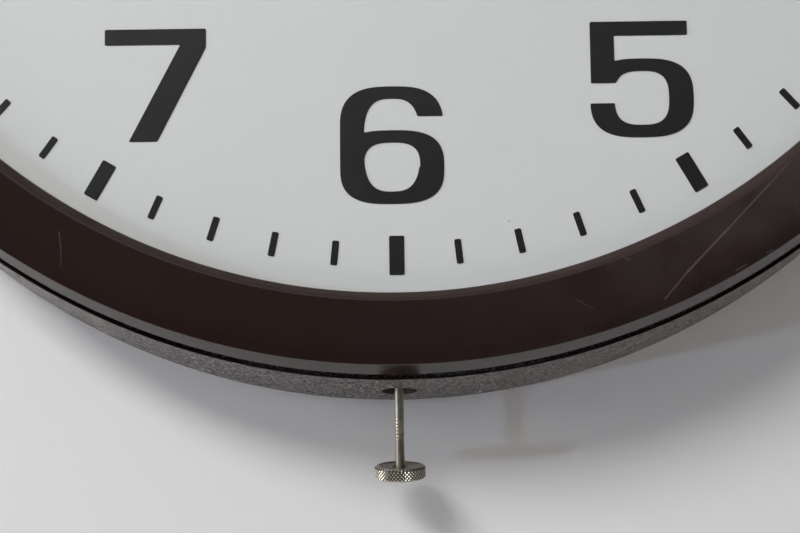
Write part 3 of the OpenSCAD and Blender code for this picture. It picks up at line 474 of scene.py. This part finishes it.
bobbin = moulded("bobbin", colour=(0.62, 0.54, 0.4), dark=(0.5, 0.42, 0.3), roughness=0.45,
                 size=0.0006, depth=0.00003)
dress(bobbin, "coil_bobbin")
coil_tape = moulded("coil_tape", colour=(0.16, 0.075, 0.03), dark=(0.09, 0.04, 0.018), roughness=0.5,
                    size=0.0004, depth=0.0002, stretch=(3, 1, 1))
dress(coil_tape, "coil_winding")
terminal_board = moulded("terminal_board", colour=(0.1, 0.055, 0.03), dark=(0.06, 0.033, 0.018),
                         roughness=0.4, size=0.0006, depth=0.00005)
dress(terminal_board, "terminal_block")
lead_cover = moulded("lead_cover", colour=(0.2, 0.012, 0.01), dark=(0.12, 0.009, 0.008), roughness=0.6,
                     size=0.0003, depth=0.0001)
dress(lead_cover, "coil_leads")
felt = moulded("felt", colour=(0.05, 0.05, 0.048), dark=(0.03, 0.03, 0.03), roughness=0.95,
               size=0.0003, depth=0.0003)
dress(felt, "lens_gasket")
rubber = moulded("rubber", colour=(0.016, 0.016, 0.016), dark=(0.026, 0.025, 0.024), roughness=0.7,
                 size=0.0004, depth=0.00004)
dress(rubber, "cord_grommet")

# The dial is steel sheet with an off-white enamel, a few tiny specks of dust on it, and its
# figures and marks printed in flat black ink. The bezel's lip covers its edge.
face_z = -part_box("dial")[0].y / mm
dial_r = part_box("dial")[1].x / mm
lip_cover = 14.45
opening_r = dial_r - lip_cover
dial_paint, tree, shader = new_material("dial_paint", Roughness=0.55, Specular_IOR_Level=0.25)
skin = use(tree, grain, Size=0.0012, Cloud_Size=0.06)
enamel = blend_colours(tree, skin.outputs["Cloud"], (0.735, 0.735, 0.725), (0.715, 0.715, 0.71))
dust = (0.2, 0.19, 0.17)
where = add(tree, "TexCoord")
dots = add(tree, "TexVoronoi", Scale=60.0)
tree.links.new(where.outputs["Object"], dots.inputs["Vector"])
speck = ramp(tree, dots.outputs["Distance"], 0.012, 0.02, 0.5, 0)
tree.links.new(blend_colours(tree, speck, enamel, dust), shader.inputs["Base Color"])
bump(tree, shader, skin, 0.00001)
dress(dial_paint, "dial")

ink, tree, shader = new_material("ink", Roughness=0.7, Specular_IOR_Level=0.15)
skin = use(tree, grain, Size=0.0008, Cloud_Size=0.02)
cloudy_colour(tree, shader, skin, (0.006, 0.007, 0.0065), (0.009, 0.01, 0.009))
bump(tree, shader, skin, 0.00001)
ink_t = 0.1
figure_rounding = 0.35
mark_rounding = 0.4
mark_inset = 9.25
hour_mark = (3.75, 9.7)
minute_mark = (1.7, 6.1)


def merged_copy(name):
    """A copy of a CAD node's mesh with its loose triangles joined and its flats made whole."""
    shape = bmesh.new()
    shape.from_mesh(nodes[name].data)
    bmesh.ops.remove_doubles(shape, verts=shape.verts, dist=1e-6)
    bmesh.ops.dissolve_limit(shape, angle_limit=radians(1), verts=shape.verts, edges=shape.edges)
    return shape


def round_corners(shape, rounding):
    """Rounds the corners of printed shapes, which are the edges that stand on the dial."""
    corners = [e for e in shape.edges if e.is_manifold and e.calc_face_angle() > radians(40)
               and abs((e.verts[0].co - e.verts[1].co).normalized().y) > 0.99]
    bmesh.ops.bevel(shape, geom=corners, offset=rounding * mm, segments=4, profile=0.5,
                    affect="EDGES", material=-1)


figures = merged_copy("dial_numerals")
round_corners(figures, figure_rounding)
finish_mesh("printed_figures", figures, "case", "ink", ink, "dial_numerals")

mark_r = opening_r - mark_inset
ticks = bmesh.new()
for minute in range(60):
    width, length = hour_mark if minute % 5 == 0 else minute_mark
    tick = bmesh.new()
    bmesh.ops.create_cube(tick, size=mm, matrix=Matrix.Diagonal((width, ink_t, length, 1)))
    round_corners(tick, mark_rounding)
    bmesh.ops.translate(tick, verts=tick.verts, vec=(0, -(face_z + ink_t / 2) * mm, mark_r * mm))
    bmesh.ops.rotate(tick, verts=tick.verts, matrix=Matrix.Rotation(minute * pi / 30, 3, "Y"))
    tick_mesh = bpy.data.meshes.new("tick")
    tick.to_mesh(tick_mesh)
    ticks.from_mesh(tick_mesh)
    bpy.data.meshes.remove(tick_mesh)
finish_mesh("printed_marks", ticks, "case", "ink", ink, "dial_marks")

# The hands are stamped from thin sheet and lacquered, the hour and minute hands in satin black and
# the second hand in red. They are pressed on the arbors in the middle of the dial.
hand_black = moulded("hand_black", colour=(0.012, 0.012, 0.012), dark=(0.018, 0.018, 0.018),
                     roughness=0.35, size=0.0005, depth=0.00001)
dress(hand_black, "hour_hand", "minute_hand")
hand_red = moulded("hand_red", colour=(0.36, 0.012, 0.01), dark=(0.3, 0.01, 0.008),
                   roughness=0.35, size=0.0005, depth=0.00001)
dress(hand_red, "second_hand")

# The lens is a clear dome, moulded with a flat flange that the bezel holds on the felt ring.
# Light passes it freely on its way to the dial, as it does through thin glass.
lens_t = 1.3
lens_rise = 24.0
lens_edge_r = opening_r - 0.35
gasket_t = 0.4
flange_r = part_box("lens")[1].x / mm
flange_z = face_z + gasket_t
curve_r = (lens_edge_r ** 2 + lens_rise ** 2) / (2 * lens_rise)
curve_centre = flange_z + lens_rise - curve_r
outer_r = curve_r + lens_t
dome_steps = 40
dome_ring_steps = 256


def dome_arc(radius):
    """Points of the dome's section, from its crown to its edge, on an arc of this radius."""
    whole = atan2(lens_edge_r, sqrt(radius ** 2 - lens_edge_r ** 2))
    turns = [whole * i / dome_steps for i in range(dome_steps + 1)]
    return [(radius * sin(turn), curve_centre + radius * cos(turn)) for turn in turns]


flange_edge = [(flange_r, flange_z), (flange_r, flange_z + lens_t)]
dome = turned(dome_arc(curve_r) + flange_edge + dome_arc(outer_r)[::-1], closed=False,
              steps=dome_ring_steps)
lens_clear, tree, shader = new_material("lens_clear", Base_Color=(0.985, 0.99, 0.99, 1),
                                        Transmission_Weight=1.0, Roughness=0.0, IOR=1.49)
clear = add(tree, "BsdfTransparent", Color=(0.95, 0.955, 0.955, 1))
rays = add(tree, "LightPath")
soft_light = solve(tree, "Math", "MAXIMUM", rays.outputs["Is Shadow Ray"],
                   rays.outputs["Is Diffuse Ray"])
tree.links.new(mix_shaders(tree, soft_light, shader, clear),
               tree.nodes["Material Output"].inputs["Surface"])
finish_mesh("lens_dome", dome, "case", "lens_clear", lens_clear, "lens")

# The bezel is a dark red-brown moulding, polished and scratched with age. Its duller lip drops
# to the lens, its skirt goes inside the case's rim, and four clips hold it behind the dial.
scratch, scratch_in, scratch_out = node_group(
    "scratch",
    [("Start", "Vector", (0, 0, 0)), ("End", "Vector", (0, 0, 0)), ("Width", "Float", 0.0003)],
    [("Mask", "Float")],
)

# A scratch is a straight line seen from the front: the mask fades with the distance from it
where = add(scratch, "TexCoord").outputs["Object"]
line_start, line_end = scratch_in.outputs["Start"], scratch_in.outputs["End"]
in_front = solve(scratch, "VectorMath", "MULTIPLY", where, (1, 0, 1))
along = solve(scratch, "VectorMath", "SUBTRACT", line_end, line_start)
reach = solve(scratch, "VectorMath", "SUBTRACT", in_front, line_start)
share = solve(scratch, "VectorMath", "DOT_PRODUCT", reach, along)
whole = solve(scratch, "VectorMath", "DOT_PRODUCT", along, along)
ratio = solve(scratch, "Math", "DIVIDE", share, whole, use_clamp=True)
foot = solve(scratch, "VectorMath", "MULTIPLY", along, ratio)
away = solve(scratch, "VectorMath", "DISTANCE", reach, foot)
taper = add(scratch, "MapRange", From_Max=0.0, To_Min=0.0, To_Max=1.0)
scratch.links.new(away, taper.inputs["Value"])
scratch.links.new(scratch_in.outputs["Width"], taper.inputs["From Min"])
scratch.links.new(taper.outputs[0], scratch_out.inputs["Mask"])

bezel_z = -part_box("bezel")[0].y / mm
bezel_r = dial_r + 2.7
lip_r = opening_r + 2.05
lip_foot_z = face_z + 1.7
skirt_r = case_front_r - sheet_t - 0.1
skirt_inner_r = skirt_r - 2
skirt_z = face_z - 1.7
skirt_end_z = skirt_z - 5
strip_z = skirt_z + 0.8
under_z = face_z + 1.9
seat_in_r = flange_r + 0.2
seat_out_r = seat_in_r + 2
clip_room_r = dial_r + 2
lip = [
    (opening_r, lip_foot_z),
    (opening_r + 0.08, face_z + 2.6, 0.2),
    (lip_r - 0.7, bezel_z - 0.3, 0.3),
    (lip_r, bezel_z, 0.15),
]
face_and_strip = [
    (bezel_r - 6, bezel_z - 0.12, 1.5),
    (bezel_r - 3.2, bezel_z - 0.28, 1),
    (bezel_r - 1.6, bezel_z - 0.55, 0.6),
    (bezel_r + 0.35, bezel_z - 1.2, 0.12),
    (skirt_r - 0.1, strip_z, 0.12),
    (skirt_r - 0.75, strip_z - 0.1),
]
skirt = [
    (skirt_r - 0.9, skirt_end_z, 0.3),
    (skirt_inner_r, skirt_end_z, 0.3),
    (skirt_inner_r, skirt_z),
]
underside = [
    (clip_room_r, under_z),
    (seat_out_r, under_z),
    (seat_out_r, face_z),
    (seat_in_r, face_z),
    (seat_in_r, lip_foot_z),
]
ring = turned(lip + face_and_strip + skirt + underside)
bezel_plastic, tree, shader = new_material("bezel_plastic")
skin = use(tree, grain, Size=0.0016, Cloud_Size=0.014)
gloss_dark, gloss_light = (0.013, 0.0055, 0.0045), (0.0175, 0.0078, 0.0062)
hazy_sheen, scratched = (0.033, 0.0215, 0.022), (0.12, 0.092, 0.086)
moulding = blend_colours(tree, skin.outputs["Cloud"], gloss_dark, gloss_light)
where = add(tree, "TexCoord")
parts = add(tree, "SeparateXYZ")
tree.links.new(where.outputs["Object"], parts.inputs[0])
# Patches on the right half are painted lighter and rougher: partly a smudged haze, partly a painted
# sheen
patches = ramp(tree, skin.outputs["Cloud"], 0.3, 0.72, 0.22, 0.9)
to_the_right = ramp(tree, parts.outputs["X"], -0.02, 0.1)
smudge_and_sheen = solve(tree, "Math", "MULTIPLY", patches, to_the_right)
worn = blend_colours(tree, smudge_and_sheen, moulding, hazy_sheen)

# Each scratch has its start, its end and its width in metres, and how clearly it shows
scratches = (
    ((0.0645, 0, -0.1581), (0.0701, 0, -0.1515), 0.0003, 0.6),
    ((0.0701, 0, -0.1515), (0.0802, 0, -0.1412), 0.00034, 0.75),
    ((0.0802, 0, -0.1412), (0.0905, 0, -0.1306), 0.0003, 0.6),
    ((0.0905, 0, -0.1306), (0.0982, 0, -0.1224), 0.00026, 0.4),
    ((-0.08165, 0, -0.1398), (-0.08114, 0, -0.1438), 0.00026, 0.4),
    ((-0.08114, 0, -0.1438), (-0.08112, 0, -0.1480), 0.00026, 0.25),
    ((0.0432, 0, -0.1579), (0.0472, 0, -0.1603), 0.0002, 0.25),
    ((0.0550, 0, -0.1481), (0.0562, 0, -0.1486), 0.0003, 0.3),
    ((0.0820, 0, -0.1514), (0.0846, 0, -0.1500), 0.00024, 0.6),
    ((0.0897, 0, -0.1472), (0.0912, 0, -0.1466), 0.00024, 0.6),
)
for start, end, width, strength in scratches:
    line = use(tree, scratch, Start=start, End=end, Width=width)
    faint = ramp(tree, line.outputs[0], 0, 1, 0, strength)
    worn = blend_colours(tree, faint, worn, scratched)
tree.links.new(worn, shader.inputs["Base Color"])
tree.links.new(ramp(tree, smudge_and_sheen, 0, 1, 0.15, 0.36), shader.inputs["Roughness"])
bump(tree, shader, skin, 0.00001)

lip_plastic, tree, shader = new_material("lip_plastic", Specular_IOR_Level=0.15)
skin = use(tree, grain, Size=0.0012, Cloud_Size=0.012)
cloudy_colour(tree, shader, skin, (0.0205, 0.0113, 0.0094), (0.0265, 0.0152, 0.0132))
uneven_gloss(tree, shader, skin, 0.36, 0.5)
bump(tree, shader, skin, 0.00001)
bezel = finish_mesh("bezel_ring", ring, "case", "bezel_plastic", bezel_plastic, "bezel")
bezel.data.materials.append(lip_plastic)

# The lip and all that lies behind the side's strip keep the mould's dull skin
for face in bezel.data.polygons:
    middle = face.center
    on_lip = (hypot(middle.x, middle.z) < (lip_r - 0.05) * mm
              and middle.y < -(lip_foot_z + 0.1) * mm)
    behind_strip = middle.y > -(strip_z - 0.03) * mm
    if on_lip or behind_strip:
        face.material_index = 1

# The setting rod and its knurled knob are brass with a dull nickel plate. The rod turns in two
# bearings inside the case, and the knob is pressed on its end.
nickel = metal("nickel", colour=(0.36, 0.33, 0.265), dark=(0.17, 0.143, 0.1), roughness=0.42,
               size=0.0006, stretch=(1, 1, 0.3), depth=0.00001)
rod_low, rod_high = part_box("set_rod")
rod_bottom, rod_top = rod_low.z / mm, rod_high.z / mm
rod_r = 1.22
rod_sides = 64
rod_chamfer = 0.3


def upright_turned(path, steps):
    """Spins an outline of (radius, height over the clock's centre) in mm about the rod's axis."""
    shape = bmesh.new()
    points = [shape.verts.new((r * mm, -rod_z * mm, z * mm)) for r, z in path]
    for first, second in zip(points, points[1:]):
        shape.edges.new((first, second))
    bmesh.ops.spin(shape, geom=shape.verts[:] + shape.edges[:], axis=(0, 0, 1),
                   cent=(0, -rod_z * mm, 0), angle=2 * pi, steps=steps, use_merge=True)
    return shape


# Seven rings are scored round the rod, about halfway between the case and the knob
score_count = 7
score_low_z = -193.9
score_pitch = 0.88
score_depth = 0.09
score_half = 0.28
rod_path = [(0, rod_bottom), (rod_r, rod_bottom)]
for i in range(score_count):
    middle = score_low_z + i * score_pitch
    rod_path += [(rod_r, middle - score_half), (rod_r - score_depth, middle),
                 (rod_r, middle + score_half)]
rod_path += [(rod_r, rod_top - rod_chamfer), (rod_r - rod_chamfer, rod_top), (0, rod_top)]
rod = upright_turned(rod_path, rod_sides)
finish_mesh("scored_rod", rod, "set_rod_group", "nickel", nickel, "set_rod")

knob_low, knob_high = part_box("set_knob")
knob_r = (knob_high.x - knob_low.x) / 2 / mm
knob_top, knob_bottom = knob_high.z / mm, knob_low.z / mm
knurl_count = 44
knurl_depth = 0.3
knurl_pitch = 2 * pi * knob_r / knurl_count
points_per_knurl = 8
row_count = 19
row_height = knurl_pitch / points_per_knurl
knurl_low = (knob_top + knob_bottom - row_count * row_height) / 2
knob_base = [
    (0, knob_bottom + 0.1),
    (knob_r - 1.6, knob_bottom + 0.1),
    (knob_r - 1.4, knob_bottom),
    (knob_r - 0.75, knob_bottom),
]
knob_side = [(knob_r, knurl_low + i * row_height) for i in range(row_count + 1)]
knob_dish = [
    (knob_r - 0.62, knob_top - 0.06),
    (knob_r - 0.72, knob_top),
    (knob_r - 1.25, knob_top),
    (knob_r - 1.45, knob_top - 0.25),
    (2.6, knob_top - 0.42),
    (2.2, knob_top - 0.5),
    (1.75, knob_top - 0.95),
    (rod_r - 0.02, knob_top - 1.0),
]
knob = upright_turned(knob_base + knob_side + knob_dish, knurl_count * points_per_knurl)

# Two sets of slanting grooves cross on the knob's edge and leave small diamonds
for vert in knob.verts:
    x, y = vert.co.x, vert.co.y + rod_z * mm
    if hypot(x, y) > (knob_r - hair) * mm:
        turn = atan2(y, x) / (2 * pi) * knurl_count
        climb = (vert.co.z / mm - knurl_low) / knurl_pitch
        hills = [1 - abs((turn + way * climb) % 1 - 0.5) * 2 for way in (-1, 1)]
        factor = 1 - knurl_depth * (1 - min(hills)) / knob_r
        vert.co.x, vert.co.y = x * factor, y * factor - rod_z * mm

# The knob's plate changes with the distance from its axis: darker inside as painted shade, darkest in
# the grooves as painted shade, and bright on the edges as painted highlight and wear. Each stop is a
# share of the radius and a colour.
knob_nickel, tree, shader = new_material("knob_nickel", Metallic=1.0)
where = add(tree, "TexCoord")
from_axis = add(tree, "Mapping", Location=(0, rod_z / knob_r, 0),
                Scale=(1 / knob_r / mm, 1 / knob_r / mm, 0))
tree.links.new(where.outputs["Object"], from_axis.inputs["Vector"])
reach = solve(tree, "VectorMath", "LENGTH", from_axis.outputs[0])
painted_shade_and_wear = add(tree, "ValToRGB")
tree.links.new(reach, painted_shade_and_wear.inputs[0])
stops = [
    (0, (0.2, 0.185, 0.145)),
    (0.8, (0.26, 0.245, 0.2)),
    (0.84, (0.4, 0.375, 0.31)),
    (0.945, (0.42, 0.395, 0.33)),
    (0.955, (0.05, 0.042, 0.03)),
    (0.972, (0.12, 0.105, 0.08)),
    (0.99, (0.6, 0.585, 0.52)),
]
for place, _ in stops[1:-1]:
    painted_shade_and_wear.color_ramp.elements.new(place)
for stop, (place, colour) in zip(painted_shade_and_wear.color_ramp.elements, stops):
    stop.position, stop.color = place, (*colour, 1)
skin = use(tree, grain, Size=0.0006, Cloud_Size=0.004)
stain = ramp(tree, skin.outputs["Cloud"], 0.5, 0.8, 0, 0.6)
tree.links.new(blend_colours(tree, stain, painted_shade_and_wear.outputs[0], (0.24, 0.22, 0.18)),
               shader.inputs["Base Color"])
uneven_gloss(tree, shader, skin, 0.28, 0.42)
finish_mesh("knurled_knob", knob, "set_rod_group", "nickel", knob_nickel, "set_knob", sharp=20)

scene.view_settings.view_transform = "Standard"
